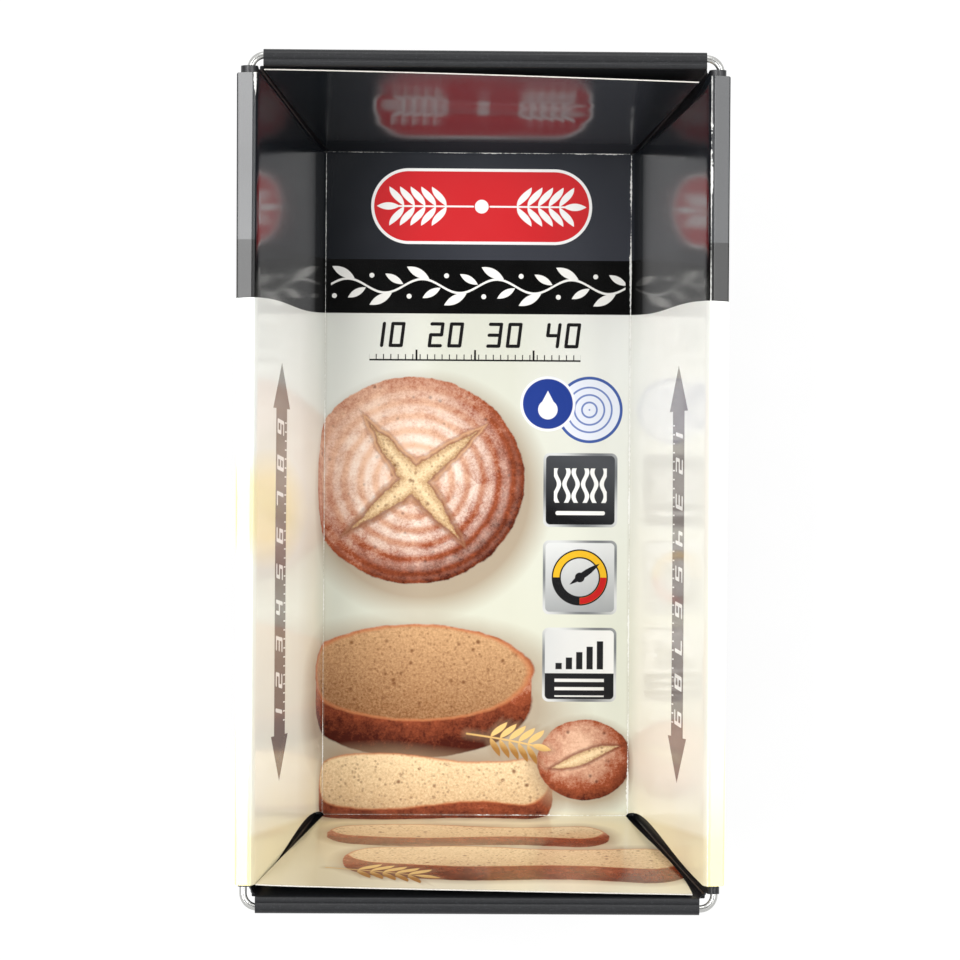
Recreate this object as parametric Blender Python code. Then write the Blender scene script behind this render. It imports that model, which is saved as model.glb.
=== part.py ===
"""Adjustable loaf pan with its card liner.

Two troughs of folded sheet steel, each closed at one end, slide one inside the other. The inner
trough's side rolls wrap the outer trough's, and each trough has a U of steel wire in its rim. The
card liner drops in and hooks over the two long rims. Lengths are in metres and +Z is up. The origin
is on the table under the middle of the closed pan, and the inner trough slides out along +Y.
"""

import math

import bmesh
import bpy
from mathutils import Matrix, Vector

MM = 0.001
QUARTER = math.radians(90)
ARC_STEP = math.radians(15)

# The pan as a whole
CLOSED_LENGTH = 280 * MM  # over both end rims, pushed right in
LEG_SPREAD = 152 * MM  # between the middles of the outer trough's two wire legs
RIM_HEIGHT = 90 * MM  # from the table to the top of the side rims
WALL_LEAN = math.radians(12)  # of every wall, outwards from upright
SLIDE_GAP = 0.3 * MM  # between pieces that lie on each other

# Sheet and wire
SHEET = 0.5 * MM
WIRE = 2.4 * MM  # diameter
BEND = 0.9 * MM  # how far a fold's rounding reaches from its edge
BEND_SEGMENTS = 3
WIRE_BEND = 4.6 * MM  # radius of a wire's corners, at its middle
WIRE_RESOLUTION = 4
WIRE_INSET = 1 * MM  # from the outer legs' ends to the roll's
STOP_GAP = 1 * MM  # from the inner legs' ends to the outer trough when it is pushed right in
FREE_EDGE_CLEAR = 1 * MM  # from a trough's open end to the other trough's end fold

# The rim over each end wall: out from the wall, down into a valley, then up round the wire
RIM_BEND = 0.9 * MM
VALLEY_DIP = math.radians(35)
VALLEY_RUN = 0.3 * MM
VALLEY_BEND = 0.5 * MM
VALLEY_RISE = math.radians(40)
END_ROLL_TURN = math.radians(290)

# The folded pleats on the outside of each end wall's corners
PLEAT_LAYERS = 2
PLEAT_START = 1.5 * MM  # from the floor's corner, up the corner edge
PLEAT_DROP = 0.5 * MM  # from the notch level to a pleat's top

# The card liner
CARD = 0.4 * MM
CARD_CLEAR = 0.3 * MM
CARD_BEND = 0.6 * MM
CARD_BEND_SEGMENTS = 2
HOOK_TURN = math.radians(40)  # how far the card follows the side roll before its crease
FLAP_CLEAR = 1 * MM  # from the side roll to the middle of the hanging flap
FLAP_BEND = 1 * MM
FLAP_HANG = 12 * MM
CORNER_SLIT = 1 * MM  # from the liner's floor corner to each panel's edge
FAR_SIDE_GAP = 0.5 * MM  # from a side panel's top corner to the end wall's line, at +Y
NEAR_SIDE_GAP = 2.5 * MM  # the same at -Y
END_PANEL_DROP = 3 * MM  # from the flaps to an end panel's top edge
END_PANEL_GAP = 1.5 * MM  # from an end panel's top corner to the side panel's line
END_PANEL_LEAN_IN = 4.2 * MM  # of one top corner of each end panel, away from the wall
END_PANEL_COLUMNS = 6
END_PANEL_ROWS = 4

SMOOTH_ANGLE = math.radians(40)
FOLD_ANGLE = math.radians(60)  # folds sharper than this are rounded by the Bevel

# Worked out from the sizes above
OUTER_CURL = WIRE / 2 + SLIDE_GAP + SHEET / 2  # radius to the middle of the sheet
INNER_CURL = OUTER_CURL + SHEET + SLIDE_GAP
RIM_LEVEL = RIM_HEIGHT - INNER_CURL - SHEET / 2  # of both wires' middles
OUTER_LEG = LEG_SPREAD / 2
INNER_LEG = OUTER_LEG + INNER_CURL - SHEET / 2 - SLIDE_GAP - WIRE / 2
END_WIRE = CLOSED_LENGTH / 2 - OUTER_CURL - SHEET / 2
OUTER_FLOOR = SHEET / 2
INNER_FLOOR = OUTER_FLOOR + SHEET + SLIDE_GAP
NOTCH_LEVEL = RIM_LEVEL - OUTER_CURL - SHEET / 2 - SLIDE_GAP
CARD_OFFSET = SHEET / 2 + CARD_CLEAR + CARD / 2  # from the middle of a sheet to the middle of the card
CARD_FLOOR = INNER_FLOOR + CARD_OFFSET
CARD_REACH = INNER_CURL + CARD_OFFSET  # from a side roll's middle to the middle of the card
FLAP_LEVEL = RIM_LEVEL + CARD_REACH


def clear_scene():
    for thing in list(bpy.data.objects):
        bpy.data.objects.remove(thing, do_unlink=True)


def finish(name, colour, roughness, metallic):
    """A Principled material."""
    material = bpy.data.materials.new(name)
    material.use_nodes = True
    shader = material.node_tree.nodes["Principled BSDF"]
    shader.inputs["Base Color"].default_value = (*colour, 1)
    shader.inputs["Roughness"].default_value = roughness
    shader.inputs["Metallic"].default_value = metallic
    material.diffuse_color = (*colour, 1)
    return material


def add_object(name, data, parent=None):
    thing = bpy.data.objects.new(name, data)
    bpy.context.collection.objects.link(thing)
    thing.parent = parent
    return thing


def add_axis(name, turn=0):
    """An empty on a joint's axis."""
    axis = add_object(name, None)
    axis.rotation_euler.z = turn
    return axis


def add_mesh(name, bm, parent=None):
    """An object of the mesh that was built, shaded smooth between its sharp edges."""
    bmesh.ops.recalc_face_normals(bm, faces=bm.faces)
    mesh = bpy.data.meshes.new(name)
    bm.to_mesh(mesh)
    bm.free()
    mesh.shade_smooth()
    mesh.set_sharp_from_angle(angle=SMOOTH_ANGLE)
    return add_object(name, mesh, parent)


def thicken(thing, thickness, bend, segments):
    """Rounds the folds of a thin sheet, then gives it its thickness, half to each side."""
    bevel = thing.modifiers.new("folds", "BEVEL")
    bevel.limit_method = "ANGLE"
    bevel.angle_limit = FOLD_ANGLE
    bevel.width = bend
    bevel.segments = segments
    solidify = thing.modifiers.new("sheet", "SOLIDIFY")
    solidify.thickness = thickness
    solidify.offset = 0
    solidify.use_even_offset = True


def bearing_vector(bearing):
    return Vector((math.cos(bearing), math.sin(bearing)))


def walk(start, bearing, legs):
    """Points of a path in a plane, from legs of (straight run, turn, radius of the turn).

    A bearing is an angle from the plane's first axis, and a turn to the left counts up."""
    points = [start]
    for run, turn, radius in legs:
        if run:
            points.append(points[-1] + run * bearing_vector(bearing))
        if turn:
            to_centre = math.copysign(radius, turn)
            centre = points[-1] + to_centre * bearing_vector(bearing + QUARTER)
            steps = max(1, round(abs(turn) / ARC_STEP))
            for step in range(1, steps + 1):
                reached = bearing + turn * step / steps
                points.append(centre - to_centre * bearing_vector(reached + QUARTER))
            bearing += turn
    return points


def on_wall(top, level):
    """The point at a level on the line of a leaning wall."""
    return Vector((top.x - (top.y - level) * math.tan(WALL_LEAN), level))


def wall_top(reach):
    """Where a side wall meets the arc of this radius about the outer wire's leg."""
    return Vector((OUTER_LEG, RIM_LEVEL)) + reach * bearing_vector(2 * QUARTER - WALL_LEAN)


def side_profile(curl, floor):
    """Half a trough's cross-section, (x, z): floor fold, notch level, wall top, then the side roll.

    The roll stops short of the outer trough's wall, by a sheet and the slide gap."""
    top = wall_top(curl)
    roll_turn = 4 * QUARTER - math.acos((OUTER_CURL - SHEET - SLIDE_GAP) / curl)
    roll = walk(top, QUARTER - WALL_LEAN, [(0, -roll_turn, curl)])
    return [on_wall(top, floor), on_wall(top, NOTCH_LEVEL), *roll]


def end_profile(floor):
    """A trough's closed end cut along its length, (distance from the middle, z), in the same order."""
    rim_bend = QUARTER - WALL_LEAN + VALLEY_DIP
    lead = [(0, -rim_bend, RIM_BEND), (VALLEY_RUN, VALLEY_DIP + VALLEY_RISE, VALLEY_BEND)]
    roll = (0, -END_ROLL_TURN, OUTER_CURL)
    origin = Vector((0, 0))
    roll_start = walk(origin, QUARTER - WALL_LEAN, lead)[-1]
    roll_centre = roll_start + OUTER_CURL * bearing_vector(VALLEY_RISE - QUARTER)
    top = Vector((END_WIRE, RIM_LEVEL)) - roll_centre
    rim = walk(top, QUARTER - WALL_LEAN, [*lead, roll])
    return [on_wall(top, floor), on_wall(top, NOTCH_LEVEL), *rim]


def free_edge(other_floor):
    """How far a trough's open end lies from the middle of the closed pan."""
    return end_profile(other_floor)[0].x - BEND - FREE_EDGE_CLEAR


def join_rows(bm, rows):
    """Faces between each row of vertices and the next."""
    for row, after in zip(rows, rows[1:]):
        for i in range(len(row) - 1):
            bm.faces.new((row[i], row[i + 1], after[i + 1], after[i]))


def corner_pleats(name, side, end):
    """The corners' spare sheet, folded double and laid on the outside of the end wall."""
    flare = math.atan(math.sin(WALL_LEAN))  # of a corner edge, in the plane of the wall
    outward = Vector((0, -math.cos(WALL_LEAN), -math.sin(WALL_LEAN)))
    depth = SHEET / 2 + PLEAT_LAYERS * SHEET
    bm = bmesh.new()
    for hand in (-1, 1):
        foot = Vector((hand * side[0].x, -end[0].x, end[0].y))
        notch = Vector((hand * side[1].x, -end[1].x, end[1].y))
        corner_edge = (notch - foot).normalized()
        fold = Matrix.Rotation(hand * (QUARTER / 2 - flare), 3, outward) @ corner_edge
        start = foot + PLEAT_START * corner_edge
        rise = NOTCH_LEVEL - PLEAT_DROP - start.z
        outline = [start, start + rise / corner_edge.z * corner_edge, start + rise / fold.z * fold]
        face = bm.faces.new([bm.verts.new(point) for point in outline])
        grown = bmesh.ops.extrude_face_region(bm, geom=[face])
        moved = [v for v in grown["geom"] if isinstance(v, bmesh.types.BMVert)]
        bmesh.ops.translate(bm, verts=moved, vec=depth * outward)
    pleats = add_mesh(name, bm)
    pleats.hide_render = True
    pleats.display_type = "WIRE"
    return pleats


def trough(name, curl, floor, leg, open_end, material, parent=None):
    """A sheet trough whose closed end is at -Y, with rolled rims that stop short of its corners."""
    side = side_profile(curl, floor)
    end = end_profile(floor)
    side_roll_end = min(END_WIRE - WIRE_BEND, end[1].x - BEND - SLIDE_GAP)
    end_roll_end = min(leg - WIRE_BEND, side[1].x - BEND - SLIDE_GAP)
    bm = bmesh.new()
    floor_corners = []
    notch_corners = []
    open_floor = []
    for hand in (-1, 1):
        foot = bm.verts.new((hand * side[0].x, -end[0].x, floor))
        foot_open = bm.verts.new((hand * side[0].x, open_end, floor))
        corner = bm.verts.new((hand * side[1].x, -end[1].x, NOTCH_LEVEL))
        rows = []
        for x, z in side[1:]:
            rows.append([bm.verts.new((hand * x, y, z)) for y in (-side_roll_end, open_end)])
        bm.faces.new((foot, foot_open, rows[0][1], rows[0][0], corner))
        join_rows(bm, rows)
        floor_corners.append(foot)
        open_floor.append(foot_open)
        notch_corners.append(corner)
    rows = []
    for y, z in end[1:]:
        rows.append([bm.verts.new((x, -y, z)) for x in (-end_roll_end, end_roll_end)])
    bm.faces.new((*floor_corners, notch_corners[1], rows[0][1], rows[0][0], notch_corners[0]))
    join_rows(bm, rows)
    bm.faces.new((floor_corners[0], floor_corners[1], open_floor[1], open_floor[0]))
    body = add_mesh(name, bm, parent)
    thicken(body, SHEET, BEND, BEND_SEGMENTS)
    pleats = corner_pleats(name + "_pleats", side, end)
    pleats.parent = parent
    union = body.modifiers.new("pleats", "BOOLEAN")
    union.operation = "UNION"
    union.object = pleats
    body.data.materials.append(material)
    return body


def rim_wire(name, leg, leg_end, material, parent=None):
    """A U of round wire in a trough's rim, closed end at -Y: a leg, the end run and the other leg."""
    leg_run = leg_end + END_WIRE - WIRE_BEND
    end_run = 2 * (leg - WIRE_BEND)
    legs = [(leg_run, QUARTER, WIRE_BEND), (end_run, QUARTER, WIRE_BEND), (leg_run, 0, 0)]
    points = walk(Vector((-leg, leg_end)), -QUARTER, legs)
    curve = bpy.data.curves.new(name, "CURVE")
    curve.dimensions = "3D"
    curve.bevel_depth = WIRE / 2
    curve.bevel_resolution = WIRE_RESOLUTION
    curve.use_fill_caps = True
    spline = curve.splines.new("POLY")
    spline.points.add(len(points) - 1)
    for target, (x, y) in zip(spline.points, points):
        target.co = (x, y, RIM_LEVEL, 1)
    wire = add_object(name, curve, parent)
    wire.data.materials.append(material)
    return wire


def liner_profile():
    """Half the liner's cross-section, (x, z), and how far each point lies past the flap's bend.

    It runs from the floor crease up the wall, round the side roll to a crease, flat over the roll
    and down outside it."""
    top = wall_top(CARD_REACH)
    hook = walk(top, QUARTER - WALL_LEAN, [(0, -HOOK_TURN, CARD_REACH)])
    leaving = QUARTER - WALL_LEAN - HOOK_TURN
    rise = (FLAP_LEVEL - hook[-1].y) / math.sin(leaving)
    crease = hook[-1] + rise * bearing_vector(leaving)
    flat_end = OUTER_LEG + INNER_CURL + SHEET / 2 + FLAP_CLEAR - FLAP_BEND
    flap = walk(crease, 0, [(flat_end - crease.x, -QUARTER, FLAP_BEND), (FLAP_HANG, 0, 0)])
    points = [on_wall(top, CARD_FLOOR), *hook, *flap]
    bend = len(points) - len(flap) + 1  # the point where the flap starts to bend
    past = [0] * (bend + 1)
    for before, after in zip(points[bend:], points[bend + 1 :]):
        past.append(past[-1] + (after - before).length)
    return points, past


def end_panel(bm, hand, foot_row, foot, top, half_width):
    """One end panel, up from its crease: a plane, but for one top corner that stands off the wall."""
    rows = [foot_row]
    for row in range(1, END_PANEL_ROWS + 1):
        up = row / END_PANEL_ROWS
        points = []
        for vertex in foot_row:
            across = vertex.co.x / foot.x
            lean_in = END_PANEL_LEAN_IN * (1 + hand * across) / 2
            x = (1 - up) * vertex.co.x + up * across * half_width
            y = (1 - up) * foot.y + up * (top.x - lean_in)
            z = (1 - up) * CARD_FLOOR + up * top.y
            points.append(bm.verts.new((x, hand * y, z)))
        rows.append(points)
    join_rows(bm, rows)


def card_liner(name, material, parent):
    """The printed card: a floor, two sides that hook over the rims and two ends, creased as one."""
    side, past_bend = liner_profile()
    wall = end_profile(INNER_FLOOR)[1] - CARD_OFFSET * bearing_vector(-WALL_LEAN)
    foot = Vector((side[0].x - CORNER_SLIT, on_wall(wall, CARD_FLOOR).x))
    end_top = on_wall(wall, FLAP_LEVEL - END_PANEL_DROP)
    end_half_width = on_wall(wall_top(CARD_REACH), end_top.y).x - END_PANEL_GAP
    wall_corner = on_wall(wall, side[1].y).x  # the end wall's line, level with the side wall's top
    bm = bmesh.new()

    side_feet = []
    for hand in (-1, 1):
        rows = []
        for (x, z), past in zip(side, past_bend):
            up = min(1, (z - CARD_FLOOR) / (side[1].y - CARD_FLOOR))
            if past:
                up = 1
            near = (1 - up) * (foot.y - CORNER_SLIT) + up * (wall_corner - NEAR_SIDE_GAP) - past
            far = (1 - up) * (foot.y - CORNER_SLIT) + up * (wall_corner - FAR_SIDE_GAP) - past
            rows.append([bm.verts.new((hand * x, y, z)) for y in (-near, far)])
        join_rows(bm, rows)
        side_feet.append(rows[0])

    end_feet = []
    for hand in (-1, 1):
        shares = [2 * i / END_PANEL_COLUMNS - 1 for i in range(END_PANEL_COLUMNS + 1)]
        row = [bm.verts.new((share * foot.x, hand * foot.y, CARD_FLOOR)) for share in shares]
        end_panel(bm, hand, row, foot, end_top, end_half_width)
        end_feet.append(row)

    bm.faces.new((*end_feet[0], *side_feet[1], *reversed(end_feet[1]), *reversed(side_feet[0])))
    liner = add_mesh(name, bm, parent)
    thicken(liner, CARD, CARD_BEND, CARD_BEND_SEGMENTS)
    liner.data.materials.append(material)
    return liner


def build():
    clear_scene()
    coated = finish("coated_steel", (0.028, 0.028, 0.03), 0.42, 0.35)
    coated_inner = finish("coated_steel_inner", (0.03, 0.03, 0.032), 0.42, 0.35)
    bright = finish("bright_wire", (0.66, 0.66, 0.64), 0.25, 1)
    bright_inner = finish("bright_wire_inner", (0.66, 0.66, 0.64), 0.25, 1)
    card = finish("printed_card", (0.78, 0.74, 0.62), 0.4, 0)

    outer_end = free_edge(INNER_FLOOR)
    inner_end = free_edge(OUTER_FLOOR)
    trough("outer_trough", OUTER_CURL, OUTER_FLOOR, OUTER_LEG, outer_end, coated)
    rim_wire("outer_rim_wire", OUTER_LEG, outer_end - WIRE_INSET, bright)

    slide = add_axis("slide_axis", 2 * QUARTER)
    trough("inner_trough", INNER_CURL, INNER_FLOOR, INNER_LEG, inner_end, coated_inner, slide)
    rim_wire("inner_rim_wire", INNER_LEG, -outer_end - STOP_GAP, bright_inner, slide)

    lift = add_axis("liner_lift")
    card_liner("card_liner", card, lift)


build()
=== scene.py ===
# %% [markdown]
# # An adjustable loaf pan with its card liner
#
# The pan is two troughs of black coated sheet steel, each closed at one end, that slide one inside
# the other. A U of bright wire stiffens each rim. A printed card, folded from one flat blank, lies
# inside and hooks over the two long rims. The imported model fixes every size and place. The cells
# below load it, then build a finer surface for each piece in the space that its solid holds.

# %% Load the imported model
import math
from functools import partialmethod

import bmesh
import bpy
from mathutils import Matrix, Vector, noise


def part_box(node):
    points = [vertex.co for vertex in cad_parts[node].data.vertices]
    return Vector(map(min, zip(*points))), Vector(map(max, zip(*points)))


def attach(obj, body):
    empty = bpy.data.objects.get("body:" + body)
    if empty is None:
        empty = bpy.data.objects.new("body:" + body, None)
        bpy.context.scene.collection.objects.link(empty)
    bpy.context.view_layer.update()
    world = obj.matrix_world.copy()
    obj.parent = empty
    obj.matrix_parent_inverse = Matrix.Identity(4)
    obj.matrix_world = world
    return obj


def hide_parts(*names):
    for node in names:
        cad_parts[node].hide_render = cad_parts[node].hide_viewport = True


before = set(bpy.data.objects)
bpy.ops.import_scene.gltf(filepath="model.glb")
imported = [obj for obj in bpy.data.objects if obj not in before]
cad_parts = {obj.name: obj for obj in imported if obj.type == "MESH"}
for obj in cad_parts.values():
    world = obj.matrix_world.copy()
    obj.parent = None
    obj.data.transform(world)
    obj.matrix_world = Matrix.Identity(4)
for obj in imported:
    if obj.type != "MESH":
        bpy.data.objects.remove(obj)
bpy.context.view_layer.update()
print("nodes:", ", ".join(sorted(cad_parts)))

# %% [markdown]
# ## Sizes
#
# The solids already say where the wires run, how high the rims are and where each trough ends, so
# those sizes are read from their boxes. Only what a box can't say, such as the gauge of the sheet
# or the lean of the walls, is written here as a named size.

# %% Read the sizes of the frame
MM = 0.001
QUARTER = math.radians(90)

outer_wire_low, outer_wire_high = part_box("outer_rim_wire")
inner_wire_low, inner_wire_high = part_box("inner_rim_wire")
WIRE = outer_wire_high.z - outer_wire_low.z
RIM_LEVEL = (outer_wire_high.z + outer_wire_low.z) / 2
OUTER_LEG = outer_wire_high.x - WIRE / 2
INNER_LEG = inner_wire_high.x - WIRE / 2
END_WIRE = -outer_wire_low.y - WIRE / 2
OUTER_OPEN_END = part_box("outer_trough")[1].y
INNER_OPEN_END = -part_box("inner_trough")[0].y
print(f"wire {WIRE / MM:.2f} mm at {RIM_LEVEL / MM:.1f}, legs {OUTER_LEG / MM:.1f} and {INNER_LEG / MM:.1f}")

# %% Name the sizes of the sheet
SHEET = 0.5 * MM
SLIDE_GAP = 0.3 * MM
WALL_LEAN = math.radians(12)
BEND = 0.9 * MM
WIRE_BEND = 4.6 * MM
OUTER_CURL = WIRE / 2 + SLIDE_GAP + SHEET / 2
INNER_CURL = OUTER_CURL + SHEET + SLIDE_GAP
OUTER_FLOOR = SHEET / 2
INNER_FLOOR = OUTER_FLOOR + SHEET + SLIDE_GAP
NOTCH_LEVEL = RIM_LEVEL - OUTER_CURL - SHEET / 2 - SLIDE_GAP
print(f"rolls of radius {OUTER_CURL / MM:.2f} and {INNER_CURL / MM:.2f} mm at the middle of the sheet")

# %% [markdown]
# ## Folding a sheet
#
# Every piece here is a line that is bent in one plane and then drawn out along another. So the
# first helper walks a line: go straight, turn on an arc, go straight again, as a maker reads a
# folding plan. The steps of its arcs are fine, because a roll shows its facets in every highlight.

# %% Walk a folded line
ARC_STEP = math.radians(6)


def bearing_vector(bearing):
    return Vector((math.cos(bearing), math.sin(bearing)))


def walk(start, bearing, legs):
    """Points of a path in a plane, from legs of (straight run, turn, radius of the turn)."""
    points = [start]
    for run, turn, radius in legs:
        if run:
            points.append(points[-1] + run * bearing_vector(bearing))
        if turn:
            to_centre = math.copysign(radius, turn)
            centre = points[-1] + to_centre * bearing_vector(bearing + QUARTER)
            steps = max(1, round(abs(turn) / ARC_STEP))
            for step in range(1, steps + 1):
                reached = bearing + turn * step / steps
                points.append(centre - to_centre * bearing_vector(reached + QUARTER))
            bearing += turn
    return points


def on_wall(top, level):
    """The point at a level on the line of a leaning wall."""
    return Vector((top.x - (top.y - level) * math.tan(WALL_LEAN), level))


def wall_top(reach):
    """Where a side wall meets the arc of this radius about the outer wire's leg."""
    return Vector((OUTER_LEG, RIM_LEVEL)) + reach * bearing_vector(2 * QUARTER - WALL_LEAN)


# %% Draw the side of a trough
def side_profile(curl, floor):
    """Half a cross-section, (x, z): floor fold, notch level, wall top and the roll round the wire."""
    top = wall_top(curl)
    roll_turn = 4 * QUARTER - math.acos((OUTER_CURL - SHEET - SLIDE_GAP) / curl)
    roll = walk(top, QUARTER - WALL_LEAN, [(0, -roll_turn, curl)])
    return [on_wall(top, floor), on_wall(top, NOTCH_LEVEL), *roll]


print("points in a side roll:", len(side_profile(OUTER_CURL, OUTER_FLOOR)))

# %% Draw the rim over an end wall
RIM_BEND = 0.9 * MM
VALLEY_DIP = math.radians(35)
VALLEY_RUN = 0.3 * MM
VALLEY_BEND = 0.5 * MM
VALLEY_RISE = math.radians(40)
END_ROLL_TURN = math.radians(290)


def end_profile(floor):
    """A closed end cut along its length: out over the wall, down a valley, then up round the wire."""
    rim_bend = QUARTER - WALL_LEAN + VALLEY_DIP
    lead = [(0, -rim_bend, RIM_BEND), (VALLEY_RUN, VALLEY_DIP + VALLEY_RISE, VALLEY_BEND)]
    roll_start = walk(Vector((0, 0)), QUARTER - WALL_LEAN, lead)[-1]
    roll_centre = roll_start + OUTER_CURL * bearing_vector(VALLEY_RISE - QUARTER)
    top = Vector((END_WIRE, RIM_LEVEL)) - roll_centre
    rim = walk(top, QUARTER - WALL_LEAN, [*lead, (0, -END_ROLL_TURN, OUTER_CURL)])
    return [on_wall(top, floor), on_wall(top, NOTCH_LEVEL), *rim]


def flat_length(points):
    """How long a folded line is once it is laid out flat."""
    return sum((b - a).length for a, b in zip(points, points[1:]))


for name, curl, level in (("outer", OUTER_CURL, OUTER_FLOOR), ("inner", INNER_CURL, INNER_FLOOR)):
    side, end = side_profile(curl, level), end_profile(level)
    blank_width = 2 * (side[0].x + flat_length(side)) / MM
    blank_length = (2 * end[0].x + flat_length(end)) / MM
    print(f"the {name} trough is cut from a blank of about {blank_width:.0f} by {blank_length:.0f} mm")

# %% [markdown]
# ## Turning lines into pieces
#
# A sheet is modelled as its middle surface with no thickness. Bevel rounds the sharp folds and
# Solidify then gives the gauge, half to each side, so inner and outer radii come out right by
# themselves. The modifiers are baked into the mesh at the end, so that the mesh is what is seen.

# %% Make objects, meshes and materials
FOLD_ANGLE = math.radians(60)
SMOOTH_ANGLE = math.radians(35)


def set_all(thing, **settings):
    for name, value in settings.items():
        setattr(thing, name, value)
    return thing


def add_object(name, data):
    thing = bpy.data.objects.new(name, data)
    bpy.context.scene.collection.objects.link(thing)
    return thing


def add_piece(name, bm):
    mesh = bpy.data.meshes.new(name)
    bm.to_mesh(mesh)
    bm.free()
    return add_object(name, mesh)


def new_material(name):
    return set_all(bpy.data.materials.new(name), use_nodes=True)


def join_rows(bm, rows):
    """Faces between each row of vertices and the next."""
    for row, after in zip(rows, rows[1:]):
        for i in range(len(row) - 1):
            bm.faces.new((row[i], row[i + 1], after[i + 1], after[i]))


# %% Give a sheet its folds and its gauge
def thicken(piece, thickness, bend, segments, fold_angle):
    bevel = piece.modifiers.new("folds", "BEVEL")
    set_all(bevel, limit_method="ANGLE", angle_limit=fold_angle, width=bend, segments=segments)
    solidify = piece.modifiers.new("gauge", "SOLIDIFY")
    return set_all(solidify, thickness=thickness, offset=0, use_even_offset=True)


def settle(piece):
    """Bakes the modifiers into the mesh and shades it smooth between its sharp edges."""
    seen = piece.evaluated_get(bpy.context.evaluated_depsgraph_get())
    mesh = bpy.data.meshes.new_from_object(seen)
    piece.modifiers.clear()
    piece.data = mesh
    mesh.shade_smooth()
    mesh.set_sharp_from_angle(angle=SMOOTH_ANGLE)
    print(f"{piece.name}: {len(mesh.polygons)} faces")
    return piece


# %% [markdown]
# ## The two troughs
#
# Each trough is one blank of sheet: a floor, two side walls that end in rolls, and one end wall
# with its own rolled rim. The rolls stop short of the corners, where the bare wire shows. Where
# the blank is folded up there is spare sheet at each corner. A press folds it double and lays it
# flat against the outside of the end wall, and that is the three-cornered pleat to be seen there.

# %% Fold the corner pleats
PLEAT_LAYERS = 2
PLEAT_START = 1.5 * MM
PLEAT_DROP = 0.5 * MM
PLEAT_ROUND = 0.45 * MM
PLEAT_ROUND_STEPS = 4


def corner_pleats(name, side, end):
    flare = math.atan(math.sin(WALL_LEAN))
    outward = Vector((0, -math.cos(WALL_LEAN), -math.sin(WALL_LEAN)))
    bm = bmesh.new()
    for hand in (-1, 1):
        foot = Vector((hand * side[0].x, -end[0].x, end[0].y))
        notch = Vector((hand * side[1].x, -end[1].x, end[1].y))
        corner_edge = (notch - foot).normalized()
        fold = Matrix.Rotation(hand * (QUARTER / 2 - flare), 3, outward) @ corner_edge
        start = foot + PLEAT_START * corner_edge
        rise = NOTCH_LEVEL - PLEAT_DROP - start.z
        outline = [start, start + rise / corner_edge.z * corner_edge, start + rise / fold.z * fold]
        face = bm.faces.new([bm.verts.new(point) for point in outline])
        grown = bmesh.ops.extrude_face_region(bm, geom=[face])["geom"]
        lid = [v for v in grown if isinstance(v, bmesh.types.BMVert)]
        bmesh.ops.translate(bm, verts=lid, vec=(SHEET / 2 + PLEAT_LAYERS * SHEET) * outward)
        rim = [e for e in bm.edges if all(v in lid for v in e.verts)]
        bmesh.ops.bevel(
            bm, geom=rim, offset=PLEAT_ROUND, segments=PLEAT_ROUND_STEPS, profile=0.5, affect="EDGES"
        )
    bmesh.ops.recalc_face_normals(bm, faces=bm.faces)
    return add_piece(name, bm)


# %% Fold a trough
BEND_SEGMENTS = 6
END_ROLL_ENDS = {-1: 72.4 * MM, 1: 71.5 * MM}


def fold_trough(name, curl, floor, side_roll_ends, open_end):
    """A trough whose closed end is at -Y. Each roll is cut off a little past its corner's notch."""
    side = side_profile(curl, floor)
    end = end_profile(floor)
    side_notch = end[1].x - BEND - SLIDE_GAP
    end_notch = side[1].x - BEND - SLIDE_GAP
    bm = bmesh.new()
    feet, notches, open_feet = [], [], []
    for hand in (-1, 1):
        foot = bm.verts.new((hand * side[0].x, -end[0].x, floor))
        open_foot = bm.verts.new((hand * side[0].x, open_end, floor))
        notch = bm.verts.new((hand * side[1].x, -end[1].x, NOTCH_LEVEL))
        rows = []
        for x, z in side[1:]:
            closed_end = side_roll_ends[hand] if rows else side_notch
            rows.append([bm.verts.new((hand * x, y, z)) for y in (-closed_end, open_end)])
        bm.faces.new((foot, open_foot, rows[0][1], rows[0][0], notch))
        join_rows(bm, rows)
        feet.append(foot)
        open_feet.append(open_foot)
        notches.append(notch)
    rows = []
    for y, z in end[1:]:
        reach = END_ROLL_ENDS if rows else {-1: end_notch, 1: end_notch}
        rows.append([bm.verts.new((hand * reach[hand], -y, z)) for hand in (-1, 1)])
    bm.faces.new((*feet, notches[1], rows[0][1], rows[0][0], notches[0]))
    join_rows(bm, rows)
    bm.faces.new((feet[0], feet[1], open_feet[1], open_feet[0]))
    bmesh.ops.recalc_face_normals(bm, faces=bm.faces)
    trough = add_piece(name, bm)
    thicken(trough, SHEET, BEND, BEND_SEGMENTS, FOLD_ANGLE)
    return trough, corner_pleats(name + "_pleats", side, end)


# %% Join the pleats, turn the inner trough round and place both
def make_trough(name, node, body, *sizes, turned=False):
    trough, pleats = fold_trough(name, *sizes)
    union = trough.modifiers.new("pleats", "BOOLEAN")
    set_all(union, operation="UNION", object=pleats)
    settle(trough)
    bpy.data.objects.remove(pleats)
    if turned:
        trough.data.transform(Matrix.Rotation(2 * QUARTER, 4, "Z"))
    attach(trough, body)
    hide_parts(node)
    return trough


OUTER_ROLL_ENDS = {-1: 131.3 * MM, 1: 133 * MM}
INNER_ROLL_ENDS = {-1: 134.2 * MM, 1: 134.4 * MM}

outer_trough = make_trough(
    "outer_trough_sheet", "outer_trough", "outer_half",
    OUTER_CURL, OUTER_FLOOR, OUTER_ROLL_ENDS, OUTER_OPEN_END,
)
inner_trough = make_trough(
    "inner_trough_sheet", "inner_trough", "inner_half",
    INNER_CURL, INNER_FLOOR, INNER_ROLL_ENDS, INNER_OPEN_END, turned=True,
)

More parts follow.
